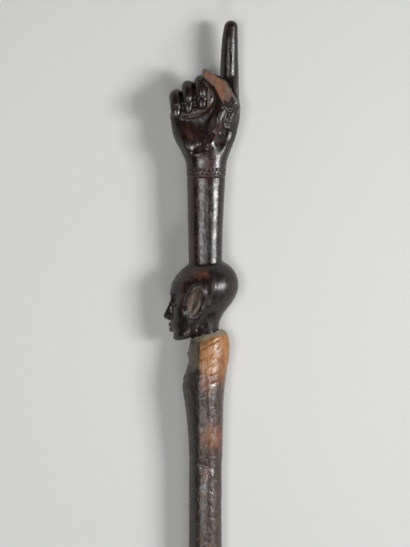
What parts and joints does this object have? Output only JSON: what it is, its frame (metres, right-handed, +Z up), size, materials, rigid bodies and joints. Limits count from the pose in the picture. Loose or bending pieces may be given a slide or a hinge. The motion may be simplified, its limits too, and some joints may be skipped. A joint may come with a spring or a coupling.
{
  "type": "carved wooden walking cane",
  "caption": "Walking cane whose dark carved handle is a hand with a raised index finger over an arm and a head, set on a paler natural stick.",
  "frame": {"origin": "on the floor, in the middle of the lying cane's length and width", "axes": "+Y along the cane from its foot to the raised fingertip, +Z up from the floor towards the palm, +X towards the back of the carved head"},
  "size_m": [0.0532, 0.9, 0.0379],
  "materials": {
    "dark_polished_wood": "near-black red-brown hardwood, hand-polished to a gloss, worn orange on the thumb",
    "brown_stick_wood": "glossy brown stick, amber and wrinkled below the rim, darker down its length"
  },
  "bodies": {
    "root": {"carved_handle": "dark_polished_wood", "shaft": "brown_stick_wood"}
  },
  "joints": []
}
